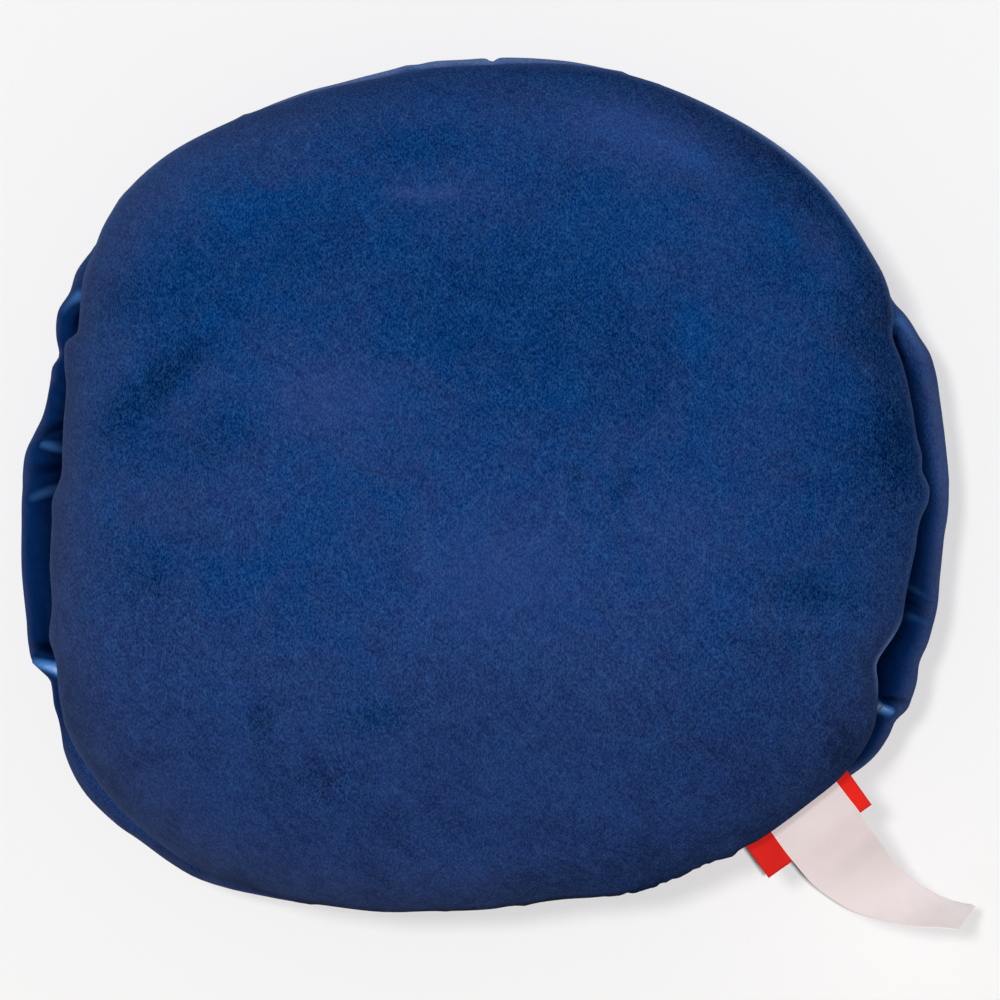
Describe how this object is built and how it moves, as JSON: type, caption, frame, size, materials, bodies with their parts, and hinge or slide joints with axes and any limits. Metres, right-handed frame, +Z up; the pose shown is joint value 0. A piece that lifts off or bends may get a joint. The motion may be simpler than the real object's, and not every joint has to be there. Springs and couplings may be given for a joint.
{
  "type": "cushion",
  "caption": "Rounded oval filled cushion in short-pile velvet, lying on its front, with a drawn-in rim seam gathered at the sides, a folded woven label and a curling care label.",
  "frame": {"origin": "middle of the flattened face on which the cushion rests", "axes": "+Z up through the thickness towards the crowned back panel, +X across the longer way from left to right with the woven label at the lower right, +Y towards the top edge"},
  "size_m": [0.3832, 0.3497, 0.136],
  "materials": {
    "velvet": "short-pile polyester velvet, brushed in patches",
    "woven_ribbon": "dense woven ribbon, folded double",
    "satin_ribbon": "soft satin ribbon"
  },
  "bodies": {
    "root": {"cushion": "velvet", "woven_label": "woven_ribbon", "care_label": "satin_ribbon"}
  },
  "joints": []
}
